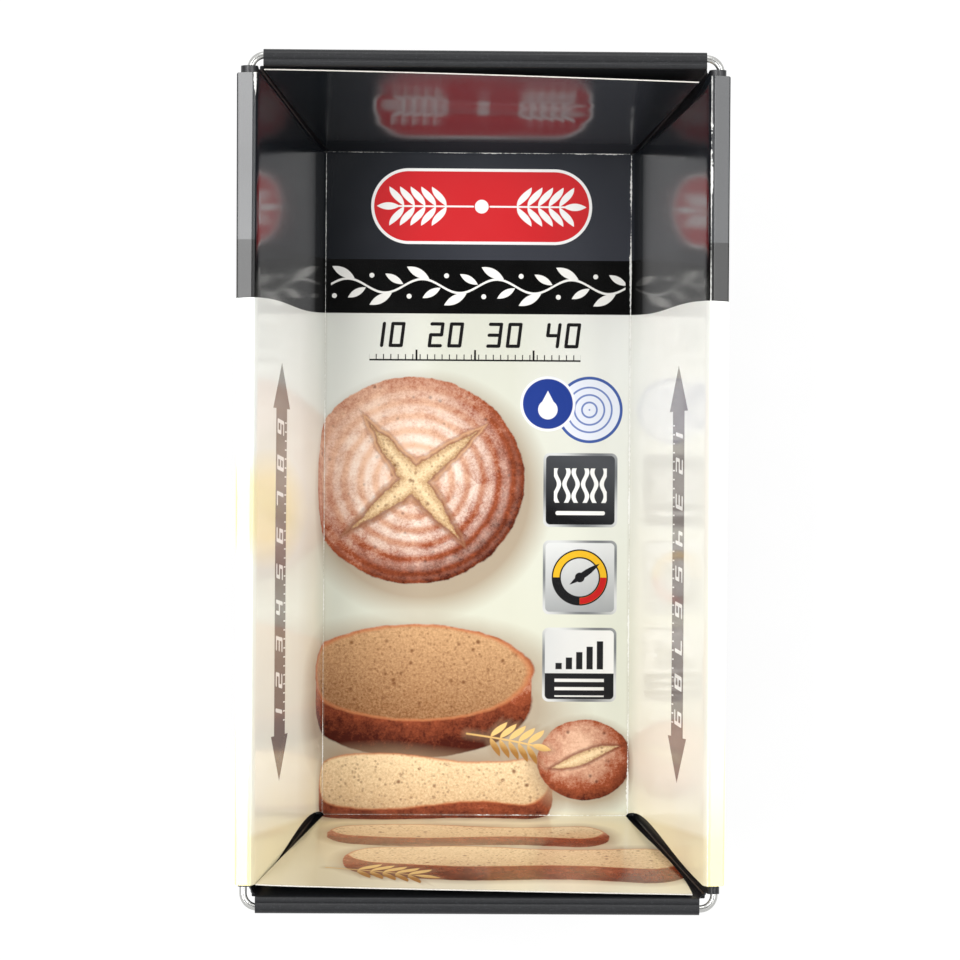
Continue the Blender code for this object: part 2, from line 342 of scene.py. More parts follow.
# %% [markdown]
# ## The rim wires
#
# A wire is a circle drawn along a path. A curve object with a bevel would do, but its mesh has no
# useful coordinates for a material. Built by hand, each ring of vertices also gets its place along
# the wire and round it, so that the fine lines which the drawing die leaves can follow the bends.

# %% Draw a wire
WIRE_SIDES = 24
WIRE_CHAMFER = 0.3 * MM
WIRE_MAP = "along_and_round"


def wire_rings(points):
    """Centre, heading, radius and place along the wire of each ring, with a chamfer at both ends."""
    ends = points[0], points[-1]
    inset = [a + WIRE_CHAMFER * (b - a).normalized() for a, b in zip(ends, (points[1], points[-2]))]
    points = [ends[0], inset[0], *points[1:-1], inset[1], ends[1]]
    rings = []
    along = 0
    for i, point in enumerate(points):
        before, after = points[max(i - 1, 0)], points[min(i + 1, len(points) - 1)]
        along += (point - before).length
        radius = WIRE / 2 - (WIRE_CHAMFER if point in ends else 0)
        rings.append((point, (after - before).normalized(), radius, along))
    return rings


def draw_wire(name, points):
    bm = bmesh.new()
    place = bm.loops.layers.uv.new(WIRE_MAP)
    where = {}
    rows = []
    for centre, heading, radius, along in wire_rings(points):
        row = []
        for i in range(WIRE_SIDES):
            out, up = radius * bearing_vector(4 * QUARTER * i / WIRE_SIDES)
            vertex = bm.verts.new((centre.x + out * heading.y, centre.y - out * heading.x, RIM_LEVEL + up))
            where[vertex] = (along, i / WIRE_SIDES)
            row.append(vertex)
        rows.append([*row, row[0]])
    join_rows(bm, rows)
    for cap in (rows[0], rows[-1]):
        bm.faces.new(cap[:-1])
    bmesh.ops.recalc_face_normals(bm, faces=bm.faces)
    for face in bm.faces:
        rounds = [where[v][1] for v in face.verts]
        for loop in face.loops:
            along, round_it = where[loop.vert]
            seam = len(face.verts) == 4 and max(rounds) - min(rounds) > 0.5 and round_it == 0
            loop[place].uv = (along, 1 if seam else round_it)
    return settle(add_piece(name, bm))


# %% Bend both wires
OUTER_PLAY = (0.3 * MM, 0.3 * MM)
INNER_PLAY = (0.25 * MM, -1.2 * MM)


def make_wire(name, node, body, leg, play, leg_end, turned=False):
    """A U, closed end at -Y, whose left and right legs lie so much further out than the CAD's."""
    leg_run = leg_end + END_WIRE - WIRE_BEND
    end_run = 2 * (leg - WIRE_BEND) + sum(play)
    legs = [(leg_run, QUARTER, WIRE_BEND), (end_run, QUARTER, WIRE_BEND), (leg_run, 0, 0)]
    wire = draw_wire(name, walk(Vector((-leg - play[0], leg_end)), -QUARTER, legs))
    if turned:
        wire.data.transform(Matrix.Rotation(2 * QUARTER, 4, "Z"))
    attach(wire, body)
    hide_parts(node)
    return wire


outer_wire = make_wire(
    "outer_wire", "outer_rim_wire", "outer_half", OUTER_LEG, OUTER_PLAY, outer_wire_high.y
)
inner_wire = make_wire(
    "inner_wire", "inner_rim_wire", "inner_half", INNER_LEG, INNER_PLAY, -inner_wire_low.y, turned=True
)

# %% [markdown]
# ## The card liner
#
# The liner starts as a flat blank, printed on one side. A function that folds the blank takes each
# point (u, v) of the flat sheet to its place in the pan, so the mesh carries its flat coordinates
# as a UV map and the print can be drawn on the blank, as a printer does. Card that lies in a pan
# is never quite flat, so a slow ripple stands the walls off the steel here and there.

# %% Draw the liner's side
CARD = 0.4 * MM
CARD_CLEAR = 0.3 * MM
CARD_OFFSET = SHEET / 2 + CARD_CLEAR + CARD / 2
CARD_FLOOR = INNER_FLOOR + CARD_OFFSET
CARD_REACH = INNER_CURL + CARD_OFFSET
HOOK_TURN = math.radians(8)
FLAP_TILT = WALL_LEAN
FLAP_HOLD = 0.5 * MM
FLAP_BEND = 0.35 * MM
FLAP_CLEAR = 1 * MM
FLAP_HANG = 12 * MM
SCORE = ((0.35 * MM, 0), (0.6 * MM, 0.14 * MM), (0.85 * MM, 0), (1.3 * MM, 0))
WALL_ROWS = 30
CREASE_SET_IN = 1.1 * MM
CREASE_ROUND = 9.5 * MM


def liner_side():
    """Half the liner's cross-section: rows of (x, z, share of the wall's height, length past the bend)."""
    top = wall_top(CARD_REACH)
    foot = on_wall(top, CARD_FLOOR)
    wall = []
    for i in range(WALL_ROWS):
        point = foot.lerp(top, i / WALL_ROWS)
        set_in = CREASE_SET_IN * math.exp(-(point.y - foot.y) / CREASE_ROUND)
        wall.append((point.x - set_in, point.y, i / WALL_ROWS, 0))
    hook = walk(top, QUARTER - WALL_LEAN, [(0, -HOOK_TURN, CARD_REACH)])
    rising = bearing_vector(QUARTER - WALL_LEAN - HOOK_TURN)
    falling = bearing_vector(-FLAP_TILT)
    over_roll = Vector((OUTER_LEG, RIM_LEVEL)) + CARD_REACH * bearing_vector(QUARTER - FLAP_TILT)
    apart = over_roll - hook[-1]
    crease = hook[-1] + apart.cross(falling) / rising.cross(falling) * rising
    bend_start = OUTER_LEG + INNER_CURL + SHEET / 2 + FLAP_CLEAR - FLAP_BEND * (1 - math.sin(FLAP_TILT))
    run = (bend_start - crease.x) / math.cos(FLAP_TILT)
    over = [(run - FLAP_HOLD, 0, 0), (FLAP_HOLD, FLAP_TILT - QUARTER, FLAP_BEND), (FLAP_HANG, 0, 0)]
    flap = walk(crease, -FLAP_TILT, over)
    flap[1:1] = [crease + along * falling + Vector((0, -deep)) for along, deep in SCORE]
    rows = [*wall, *((x, z, 1, 0) for x, z in hook)]
    past = -run
    for before, (x, z) in zip([crease, *flap], flap):
        past += (Vector((x, z)) - before).length
        rows.append((x, z, 1, max(0, past)))
    return rows


liner_rows = liner_side()
print(f"{len(liner_rows)} rows, {max(z for x, z, up, past in liner_rows) / MM:.2f} mm high")

# %% [markdown]
# The floor of the blank is a grid, and each panel grows from the grid's edge, row by row, so the
# two sides of a crease share their vertices. Both ends of the long panels are cut back as they
# rise, and each end panel has one corner that has sprung off the wall. Tables of sizes have two
# keys: the side, -1 at the left, and the end, -1 near the viewer.

# %% Size the panels
def at_corners(*sizes):
    """Millimetres for each corner: near left, far left, near right, far right."""
    corners = [(side, end) for side in (-1, 1) for end in (-1, 1)]
    return {corner: size * MM for corner, size in zip(corners, sizes)}


CORNER_SLIT = 1 * MM
SIDE_END_GAP = at_corners(3.1, 1.8, 3.5, 1.7)
SIDE_END_BOW_LOW = at_corners(-3.1, 0.3, -3.4, 0)
SIDE_END_BOW_HIGH = at_corners(1.3, 0.5, 0, -3.5)
FLAP_TAPER = {-1: 1.2 * MM, 1: 0.7 * MM}
END_PANEL_DROP = 3 * MM
END_PANEL_GAP = at_corners(0.4, 1.4, 3.4, 2.8)
END_PANEL_SPRING = at_corners(3, 0.4, 0.4, 3.4)
END_SPRING_POWER = {-1: 0.72, 1: 1.43}
END_PANEL_BULGE = at_corners(0, 0, 1.8, -0.3)
FLAP_LEVEL = RIM_LEVEL + CARD_REACH

end_wall = end_profile(INNER_FLOOR)[1] - CARD_OFFSET * bearing_vector(-WALL_LEAN)
FLOOR_HALF_WIDTH = liner_rows[0][0]
FLOOR_HALF_LENGTH = on_wall(end_wall, CARD_FLOOR).x
wall_corner = on_wall(end_wall, wall_top(CARD_REACH).y).x
end_top = on_wall(end_wall, FLAP_LEVEL - END_PANEL_DROP)
print(f"the blank's floor is {2 * FLOOR_HALF_WIDTH / MM:.1f} by {2 * FLOOR_HALF_LENGTH / MM:.1f} mm")

# %% Stand a point off the wall
RIPPLE_ACROSS = 60 * MM
RIPPLE_ALONG = 90 * MM


def rippled(u, v, up, depth):
    """How far the card stands off the steel at a flat point, none at the wall's foot and top."""
    wave = noise.noise(Vector((u / RIPPLE_ACROSS, v / RIPPLE_ALONG, 0)))
    return depth * (0.5 + wave) * (4 * up * (1 - up)) ** 2


# %% Lay the floor
FLOOR_COLUMNS = 28
FLOOR_LINES = 60
CARD_MAP = "flat_blank"


def grid_lines(inner, outer, count):
    return [-outer, *(inner * (2 * i / count - 1) for i in range(count + 1)), outer]


def lay_floor(bm, flat):
    """A grid with cut corners. Returns its left and right rows and its near and far rows."""
    across = grid_lines(FLOOR_HALF_WIDTH - CORNER_SLIT, FLOOR_HALF_WIDTH, FLOOR_COLUMNS)
    along = grid_lines(FLOOR_HALF_LENGTH - CORNER_SLIT, FLOOR_HALF_LENGTH, FLOOR_LINES)
    rows = []
    for j, y in enumerate(along):
        ends = (0, len(across) - 1) if j in (0, len(along) - 1) else ()
        row = [None if i in ends else bm.verts.new((x, y, CARD_FLOOR)) for i, x in enumerate(across)]
        flat.update({v: (v.co.x, v.co.y) for v in row if v})
        rows.append(row)
    for row, after in zip(rows, rows[1:]):
        for i in range(len(row) - 1):
            corners = (row[i], row[i + 1], after[i + 1], after[i])
            bm.faces.new([v for v in corners if v])
    left, right = [row[0] for row in rows[1:-1]], [row[-1] for row in rows[1:-1]]
    return left, right, rows[0][1:-1], rows[-1][1:-1]


# %% Cut the ends of a side panel
BOW_TO_ONE = 256 / 27


def side_panel_ends(hand, up, past):
    """How far a side panel reaches towards -Y and +Y at a share of its height."""
    foot = (1 - up) * (FLOOR_HALF_LENGTH - CORNER_SLIT)
    low = up * (1 - up) ** 3 * BOW_TO_ONE
    high = up**3 * (1 - up) * BOW_TO_ONE
    for corner in ((hand, -1), (hand, 1)):
        bow = SIDE_END_BOW_LOW[corner] * low + SIDE_END_BOW_HIGH[corner] * high
        yield foot + up * (wall_corner - SIDE_END_GAP[corner]) + bow - past


# %% Raise a side panel and its flap
SIDE_RIPPLE = 0.4 * MM


def raise_side(bm, flat, hand, foot_row):
    rows = [foot_row]
    out = FLOOR_HALF_WIDTH
    half = FLOOR_HALF_LENGTH - CORNER_SLIT
    for before, (x, z, up, past) in zip(liner_rows, liner_rows[1:]):
        out += math.hypot(x - before[0], z - before[1])
        near, far = side_panel_ends(hand, up, past)
        row = []
        for vertex in foot_row:
            share = (vertex.co.y + half) / (2 * half)
            y = (1 - share) * -near + share * far
            off = rippled(hand * out, y, up, SIDE_RIPPLE)
            if x > OUTER_LEG:
                off += FLAP_TAPER[hand] * (1 - share)
            place = (hand * (x - off * math.cos(WALL_LEAN)), y, z + off * math.sin(WALL_LEAN))
            row.append(bm.verts.new(place))
            flat[row[-1]] = (hand * out, y)
        rows.append(row)
    join_rows(bm, rows)


# %% Raise an end panel
END_PANEL_ROWS = 24
BULGE_TO_ONE = 27 / 4
END_RIPPLE = 0.15 * MM


def raise_end(bm, flat, hand, foot_row):
    rows = [foot_row]
    lean = math.hypot(end_top.x - FLOOR_HALF_LENGTH, end_top.y - CARD_FLOOR)
    for i in range(1, END_PANEL_ROWS + 1):
        up = i / END_PANEL_ROWS
        row = []
        for vertex in foot_row:
            across = vertex.co.x / (FLOOR_HALF_WIDTH - CORNER_SLIT)
            side = 1 if across > 0 else -1
            half_width = on_wall(wall_top(CARD_REACH), end_top.y).x - END_PANEL_GAP[side, hand]
            left, right = END_PANEL_SPRING[-1, hand], END_PANEL_SPRING[1, hand]
            sprung = left + (right - left) * max(0, (1 + across) / 2) ** END_SPRING_POWER[hand]
            bulge = END_PANEL_BULGE[side, hand] * up**2 * (1 - up) * BULGE_TO_ONE
            x = (1 - up) * vertex.co.x + across * (up * half_width + bulge)
            off = rippled(x, hand * up, up, END_RIPPLE)
            y = (1 - up) * FLOOR_HALF_LENGTH + up * (end_top.x - sprung) - off
            row.append(bm.verts.new((x, hand * y, (1 - up) * CARD_FLOOR + up * end_top.y)))
            flat[row[-1]] = (x, hand * (FLOOR_HALF_LENGTH + up * lean))
        rows.append(row)
    join_rows(bm, rows)


# %% Fold the liner
CARD_FOLD_ANGLE = math.radians(45)
CARD_FOLD = 0.4 * MM
CARD_FOLD_SEGMENTS = 3

card_finishes = [new_material(name) for name in ("printed_card", "card_back", "card_edge")]


def fold_liner():
    bm = bmesh.new()
    flat = {}
    left, right, near, far = lay_floor(bm, flat)
    for hand, row in ((-1, left), (1, right)):
        raise_side(bm, flat, hand, row)
    for hand, row in ((-1, near), (1, far)):
        raise_end(bm, flat, hand, row)
    bmesh.ops.recalc_face_normals(bm, faces=bm.faces)
    bm.faces.ensure_lookup_table()
    floor = min(bm.faces, key=lambda face: face.calc_center_median().length)
    if floor.normal.z < 0:
        bmesh.ops.reverse_faces(bm, faces=bm.faces)
    blank = bm.loops.layers.uv.new(CARD_MAP)
    for face in bm.faces:
        for loop in face.loops:
            loop[blank].uv = flat[loop.vert]
    liner = add_piece("printed_liner", bm)
    for finish in card_finishes:
        liner.data.materials.append(finish)
    gauge = thicken(liner, CARD, CARD_FOLD, CARD_FOLD_SEGMENTS, CARD_FOLD_ANGLE)
    set_all(gauge, material_offset=1, material_offset_rim=2)
    settle(liner)
    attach(liner, "liner")
    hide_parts("card_liner")


fold_liner()

# %% [markdown]
# ## Writing a material as a formula
#
# A printed card could be an image texture, but then its sharpness would end with the pixels. Here
# the print is drawn by nodes from the place on the flat blank, so every edge stays sharp close up.
# Hundreds of Math nodes are hard to wire by hand. A small class whose operators add the nodes lets
# the cells below read like the formulas that they are.

# %% Add nodes and links
def plug(socket, value):
    """Links a socket to a number or a colour from another node, or sets its own value."""
    if isinstance(value, Term):
        value = value.socket
    if isinstance(value, bpy.types.NodeSocket):
        socket.id_data.links.new(value, socket)
    else:
        socket.default_value = value


def plug_all(node, values):
    for name, value in values.items():
        plug(node.inputs[name], value)
    return node


def add_node(tree, kind, inputs=None, **settings):
    node = set_all(tree.nodes.new("ShaderNode" + kind), **settings)
    return plug_all(node, inputs or {})


def formula(operation, *values, clamp=False):
    tree = next(value for value in values if isinstance(value, Term)).socket.id_data
    node = add_node(tree, "Math", dict(enumerate(values)), operation=operation, use_clamp=clamp)
    return Term(node.outputs[0])


class Term:
    """A number in a node tree. Each operator on it adds one Math node."""

    def __init__(self, socket):
        self.socket = socket

    def before(self, operation, *others):
        return formula(operation, self, *others)

    def after(self, operation, other):
        return formula(operation, other, self)

    __add__ = __radd__ = partialmethod(before, "ADD")
    __mul__ = __rmul__ = partialmethod(before, "MULTIPLY")
    __sub__, __rsub__ = partialmethod(before, "SUBTRACT"), partialmethod(after, "SUBTRACT")
    __truediv__, __rtruediv__ = partialmethod(before, "DIVIDE"), partialmethod(after, "DIVIDE")
    __mod__ = partialmethod(before, "FLOORED_MODULO")
    __neg__ = partialmethod(before, "MULTIPLY", -1)
    __abs__ = partialmethod(before, "ABSOLUTE")


# %% Name the common steps
def smaller(first, *others):
    for other in others:
        first = formula("MINIMUM", first, other)
    return first


def larger(first, *others):
    for other in others:
        first = formula("MAXIMUM", first, other)
    return first


def sine(x):
    return formula("SINE", x)


def fade(value, start, end, low=0, high=1):
    """Goes from low to high while a value goes from start to end, and stays there."""
    ends = {"Value": value, "From Min": start, "From Max": end, "To Min": low, "To Max": high}
    return Term(add_node(value.socket.id_data, "MapRange", ends).outputs["Result"])


def far(x, y):
    """The distance of a point from the origin."""
    tree = x.socket.id_data
    point = add_node(tree, "CombineXYZ", {"X": x, "Y": y}).outputs[0]
    return Term(add_node(tree, "VectorMath", {0: point}, operation="LENGTH").outputs["Value"])


def turned(x, y, degrees):
    """The same point in axes that are turned counterclockwise."""
    cos, sin = bearing_vector(math.radians(degrees))
    return formula("MULTIPLY_ADD", x, cos, y * sin), formula("MULTIPLY_ADD", y, cos, x * -sin)


def noise_of(place, scale, detail=2, roughness=0.5):
    inputs = {"Vector": place, "Scale": scale, "Detail": detail, "Roughness": roughness}
    return Term(add_node(place.id_data, "TexNoise", inputs).outputs["Fac"])


def cells_of(place, scale, output="Distance"):
    return add_node(place.id_data, "TexVoronoi", {"Vector": place, "Scale": scale}).outputs[output]


def ink(red, green, blue):
    """A colour as it is read off a screen, from 0 to 255, in the linear values that nodes use."""
    channels = [c / 255 for c in (red, green, blue)]
    return (*(c / 12.92 if c <= 0.04045 else ((c + 0.055) / 1.055) ** 2.4 for c in channels), 1)


def blend(mask, under, over):
    tree = mask.socket.id_data
    node = add_node(tree, "Mix", {"Factor": mask, "A": under, "B": over}, data_type="RGBA")
    return node.outputs["Result"]


# %% Name the shapes that a printer draws
EDGE_SOFTNESS = 0.14


def cover(distance, softness=EDGE_SOFTNESS):
    """1 inside a shape, where the distance from its edge is below zero, and 0 outside it."""
    return formula("MULTIPLY_ADD", distance, -1 / softness, 0.5, clamp=True)


def disc(x, y, radius):
    return far(x, y) - radius


def block(x, y, half_x, half_y, corner=0):
    """A rectangle whose corners may be rounded."""
    across = abs(x) - (half_x - corner)
    along = abs(y) - (half_y - corner)
    if not corner:
        return larger(across, along)
    return far(larger(across, 0), larger(along, 0)) - corner


def bar(x, y, reach, weight):
    """A level line with round ends."""
    return far(larger(abs(x) - reach, 0), y) - weight / 2


def leaf(x, y, half_length, half_width):
    """A pointed oval along x, from the parabola of its upper edge."""
    bow = formula("MULTIPLY_ADD", x * x, -half_width / half_length**2, half_width)
    return abs(y) - bow


# %% Draw numerals with bars
NUMERAL_BARS = (
    (0, 1, True), (-1, 0.5, False), (1, 0.5, False), (0, 0, True), (-1, -0.5, False), (1, -0.5, False),
    (0, -1, True),
)
NUMERALS = {
    "0": "1110111", "1": "0010010", "2": "1011101", "3": "1011011", "4": "0111010",
    "5": "1101011", "6": "1101111", "7": "1010010", "8": "1111111", "9": "1111011",
}


def numerals(x, y, text, pitch, height, weight, slant=0.12):
    """Numerals centred on a point. A binary number for each bar says which places show it."""
    half_width, half_height = height / 4, height / 2
    x = formula("MULTIPLY_ADD", y, -slant, x)
    count = formula("MULTIPLY_ADD", x, 1 / pitch, len(text) / 2)
    place = formula("FLOOR", count)
    inside = formula("MULTIPLY_ADD", count - place, pitch, -pitch / 2)
    bit = formula("POWER", 2, place)
    lines = []
    for i, (across, up, level) in enumerate(NUMERAL_BARS):
        shown = sum(1 << k for k, c in enumerate(text) if NUMERALS.get(c, "0" * 7)[i] == "1")
        x_off, y_off = inside - across * half_width, y - up * half_height
        reach = half_width if level else half_height / 2
        line = bar(x_off, y_off, reach, weight) if level else bar(y_off, x_off, reach, weight)
        hidden = formula("LESS_THAN", formula("FLOOR", shown / bit) % 2, 0.5)
        lines.append(formula("MULTIPLY_ADD", hidden, height, line))
    return smaller(*lines)


print(f"{len(NUMERALS)} numerals of {len(NUMERAL_BARS)} bars")

# %% [markdown]
# ## Effects that several materials share
#
# Nothing that is made and handled is one even tone. Two node groups give that to all of them: a
# fine grain that varies tone, gloss and height, and rubbed patches. They put out only masks and a
# normal, so each material decides what to do with them.

# %% The grain group
def new_group(name, inputs, outputs):
    group = bpy.data.node_groups.new(name, "ShaderNodeTree")
    for socket_name, kind, value in inputs:
        socket = group.interface.new_socket(socket_name, in_out="INPUT", socket_type="NodeSocket" + kind)
        if value is not None:
            socket.default_value = value
    for socket_name, kind in outputs:
        group.interface.new_socket(socket_name, in_out="OUTPUT", socket_type="NodeSocket" + kind)
    return group, group.nodes.new("NodeGroupInput"), group.nodes.new("NodeGroupOutput")


def use_group(tree, group, inputs):
    return add_node(tree, "Group", inputs, node_tree=group).outputs


def set_looks(tree, looks):
    """Gives a material's own shader its colour, gloss and so on."""
    plug_all(tree.nodes["Principled BSDF"], looks)


grain_group, given, result = new_group(
    "fine_grain",
    [("Vector", "Vector", None), ("Scale", "Float", 1000.0), ("Height", "Float", 0.00002)],
    [("Fine", "Float"), ("Broad", "Float"), ("Normal", "Vector")],
)
FINE_TO_BROAD = 0.06
fine = noise_of(given.outputs["Vector"], given.outputs["Scale"], detail=3)
broad = noise_of(given.outputs["Vector"], Term(given.outputs["Scale"]) * FINE_TO_BROAD, detail=4)
raised = add_node(grain_group, "Bump", {"Height": fine, "Distance": given.outputs["Height"]})
plug_all(result, {"Fine": fine, "Broad": broad, "Normal": raised.outputs["Normal"]})
print(f"{grain_group.name}: {len(grain_group.nodes)} nodes")

# %% The wear group
wear_group, given, result = new_group(
    "rubbed_edge",
    [("Vector", "Vector", None), ("Distance", "Float", 0.0), ("Width", "Float", 0.3)],
    [("Mask", "Float")],
)
WEAR_SOFTNESS = 0.16
WEAR_THRESHOLD = 1.6
ragged = noise_of(given.outputs["Vector"], scale=900, detail=4, roughness=0.7)
patchy = noise_of(given.outputs["Vector"], scale=60, detail=1)
depth = (ragged * 2 + patchy * 2 - WEAR_THRESHOLD) * Term(given.outputs["Width"])
plug(result.inputs["Mask"], cover(Term(given.outputs["Distance"]) - depth, WEAR_SOFTNESS))
print(f"{wear_group.name}: {len(wear_group.nodes)} nodes")

# %% [markdown]
# ## The print on the card
#
# A liner like this is printed before it is folded, with a dark header, a red panel, a scale, a few
# round and square marks and a picture of bread. The print below is a plain design of that kind.
# It works in millimetres on the flat blank: u runs across, v along, and the origin is the middle
# of the floor. Each cell paints one thing over the colours so far.

# %% Lay one ink over another
class Print:
    """The colours printed so far. Each call lays one more over them."""

    def __init__(self, colour):
        self.colour = colour

    def lay(self, mask, over):
        self.colour = blend(mask, self.colour, over)

    def shape(self, distance, over, softness=EDGE_SOFTNESS):
        self.lay(cover(distance, softness), over)

    def shadow(self, distance, softness, strength):
        self.lay(cover(distance - softness / 3, softness) * strength, ink(156, 132, 106))

    def report(self, thing):
        print(f"painted {thing}, {len(self.colour.id_data.nodes)} nodes so far")


# %% Open the blank
MAP_TO_MM = 1 / MM
printed_card, card_back, card_edge = card_finishes
card_tree = printed_card.node_tree
blank_map = add_node(card_tree, "UVMap", uv_map=CARD_MAP).outputs["UV"]
in_mm = add_node(card_tree, "VectorMath", {0: blank_map, "Scale": MAP_TO_MM}, operation="SCALE")
flat_axes = add_node(card_tree, "SeparateXYZ", {0: in_mm.outputs["Vector"]}).outputs
u, v = Term(flat_axes["X"]), Term(flat_axes["Y"])


def seen_from(centre):
    """The place on the blank, measured from a point on it."""
    return u - centre[0], v - centre[1]


WALL_FOOT = FLOOR_HALF_WIDTH / MM
END_FOOT = FLOOR_HALF_LENGTH / MM
top_row = max(range(len(liner_rows)), key=lambda i: liner_rows[i][1])
rows_up = zip(liner_rows[:top_row], liner_rows[1 : top_row + 1])
FLAP_CREASE = WALL_FOOT + sum(math.hypot(b[0] - a[0], b[1] - a[1]) for a, b in rows_up) / MM
print(f"the floor of the blank reaches u {WALL_FOOT:.1f} and v {END_FOOT:.1f}")

# %% The pale ground
WARM_ZONE = (70, -20)
FOOT_ZONE = (-4, 12)
GROUND_SHADE = 0.8
cloudy = noise_of(blank_map, scale=14, detail=2)
warmth = fade(v + cloudy * 60, *WARM_ZONE)
past_foot = larger(abs(u) - WALL_FOOT, abs(v) - END_FOOT)
on_wall_part = fade(past_foot, *FOOT_ZONE)
# The walls are printed lighter than the floor, as painted light for the walls, which get less light.
floor_tone = blend(warmth, ink(241, 242, 238), ink(223, 226, 212))
wall_tone = blend(warmth, ink(247, 249, 244), ink(246, 247, 236))
card = Print(blend(on_wall_part, floor_tone, wall_tone))
# Painted shade darkens the middle of the floor, where the most light falls.
middle_of_floor = fade(abs(u), 48, 12) * fade(abs(v), END_FOOT, 60)
card.lay(middle_of_floor * GROUND_SHADE, ink(205, 206, 190))
card.lay(fade(v, -END_FOOT + 2, -END_FOOT), ink(234, 228, 204))
card.report("the ground")

# %% Shade beside the creases
CREASE_SHADE = {-1: 0.5, 1: 0.18}
CREASE_SHADE_REACH = 34
beside = [CREASE_SHADE[k] * fade(abs(u - k * WALL_FOOT), CREASE_SHADE_REACH, 0) for k in (-1, 1)]
shade_ink = blend(warmth * on_wall_part, ink(186, 188, 176), ink(188, 168, 122))
card.lay(beside[0] + beside[1], shade_ink)
card.report("the shade")

# %% Golden light at the near end
GOLD_SPOT = (-128, -9)
GOLD_SPOT_RADIUS = 26
GOLD_SPOT_SOFTNESS = 16
NEAR_GLOW = (-90, -118)
FLAP_GLOW = (-40, -100)
x, y = seen_from(GOLD_SPOT)
gold_spot = cover(disc(x * 0.55, y * 1.5, GOLD_SPOT_RADIUS) + cloudy * 8, GOLD_SPOT_SOFTNESS)
near_glow = fade(v + cloudy * 20, *NEAR_GLOW) * on_wall_part * fade(abs(v), END_FOOT + 40, END_FOOT)
card.lay(larger(gold_spot * 0.9, near_glow * 0.6), ink(252, 238, 186))
on_flap = cover(FLAP_CREASE - abs(u))
card.lay(smaller(larger(gold_spot, fade(v + cloudy * 40, *FLAP_GLOW)), on_flap), ink(248, 237, 166))
card.report("the golden light")

# %% The dark header and its band
HEADER_EDGE = 59.2
HEADER_WAVE = 0.6
HEADER_WAVE_LENGTH = 92
BAND_EDGE = 78
rise = larger(abs(u) - WALL_FOOT, 0) * (2 * math.pi / HEADER_WAVE_LENGTH)
header = cover(HEADER_EDGE - HEADER_WAVE * sine(rise) - v)
lighter = fade(u, -55, 0) * fade(v, 118, 84, 0.5, 1) * fade(u, WALL_FOOT, WALL_FOOT + 4, 1, 0)
card.lay(header, blend(lighter, ink(25, 28, 32), ink(60, 62, 69)))
band = header * cover(v - BAND_EDGE)
card.lay(band, ink(9, 9, 9))
card.report("the header")

# %% The red panel and its ears of wheat
PANEL_CENTRE = (1, 96.6)
PANEL_HALF = (38.5, 13.2)
PANEL_BORDER = 1
GRAIN_LEAN = 0.75
GRAIN_NARROWING = 0.8
STALK_WEIGHT = 0.6
WHITE = ink(250, 248, 246)


def wheat(x, y, pairs, grain, pitch):
    """An ear that lies along x from the origin: a stalk, leaning pairs of grains and a tip."""
    first, last = 2 * pitch, (2 + pairs) * pitch
    sheared = formula("MULTIPLY_ADD", abs(y), -GRAIN_LEAN, x)
    across = ((sheared / pitch) % 1 - 0.5) * (pitch * GRAIN_NARROWING)
    grains = leaf(abs(y) - grain * 0.86, across, grain * 0.84, grain * 0.3)
    between = abs(sheared - (first + last) / 2) - (last - first) / 2
    tip = leaf(x - last - grain * 0.9, y, grain, grain * 0.32)
    return smaller(bar(x - last / 2, y, last / 2, STALK_WEIGHT), larger(grains, between), tip)


x, y = seen_from(PANEL_CENTRE)
panel = block(x, y, *PANEL_HALF, corner=PANEL_HALF[1])
card.shape(panel, WHITE)
card.shape(panel + PANEL_BORDER, ink(211, 44, 49))
card.shape(smaller(wheat(abs(x) - 3, y, pairs=5, grain=4, pitch=3.7), disc(x, y, 2.4)), WHITE)
card.report("the panel")

# %% The vine along the band
VINE_LEVEL = 68.8
VINE_PITCH = 13
VINE_WAVE = 2.4
STEM_HALF = 0.4
x, y = seen_from((0, VINE_LEVEL))
stem = abs(y - sine(x * (math.pi / VINE_PITCH)) * VINE_WAVE) - STEM_HALF
count = formula("FLOOR", x / VINE_PITCH)
up = y * (1 - (count % 2) * 2)
in_cell = x - (count + 0.5) * VINE_PITCH
high_leaf = leaf(*turned(in_cell + 1.5, up - 4.6, degrees=-28), 4.4, 1.5)
low_leaf = leaf(*turned(in_cell - 3.2, up + 2.4, degrees=30), 3.6, 1.2)
berry = disc(in_cell + 4.6, up + 3.6, 0.85)
vine = larger(smaller(stem, high_leaf, low_leaf, berry), abs(x) - 4 * VINE_PITCH + 0.7)
card.shape(vine, ink(246, 245, 240))
card.report("the vine")

# %% The scale
SCALE_CENTRE = (-1, 47.6)
SCALE_STEP = 20.4
SCALE_REACH = 2 * SCALE_STEP - 4
SCALE_LINE = -4.6


def ticks(x, pitch, weight):
    """The distance from evenly spaced lines that stand across x."""
    return abs((x / pitch) % 1 - 0.5) * pitch - weight / 2


x, y = seen_from(SCALE_CENTRE)
fine_ticks = larger(ticks(x, SCALE_STEP / 8, 0.35), abs(y + 3.6) - 1)
long_ticks = larger(ticks(x + SCALE_STEP / 2, SCALE_STEP, 0.7), abs(y + 2.8) - 1.8)
ruler = larger(smaller(fine_ticks, long_ticks, abs(y - SCALE_LINE) - 0.3), abs(x) - SCALE_REACH)
figures = numerals(x, y - 4.2, "10 20 30 40", pitch=SCALE_STEP / 3, height=7.6, weight=1.2)
card.shape(smaller(ruler, figures), ink(26, 25, 26))
card.report("the scale")

# %% [markdown]
# The bread is drawn as a painter lays it in: a soft shadow first, then the crust with its light
# side and dark rim, flour along the rings that a proving basket leaves, and the scores on top.
# Noise breaks each of these up, or they would look like drawn circles.

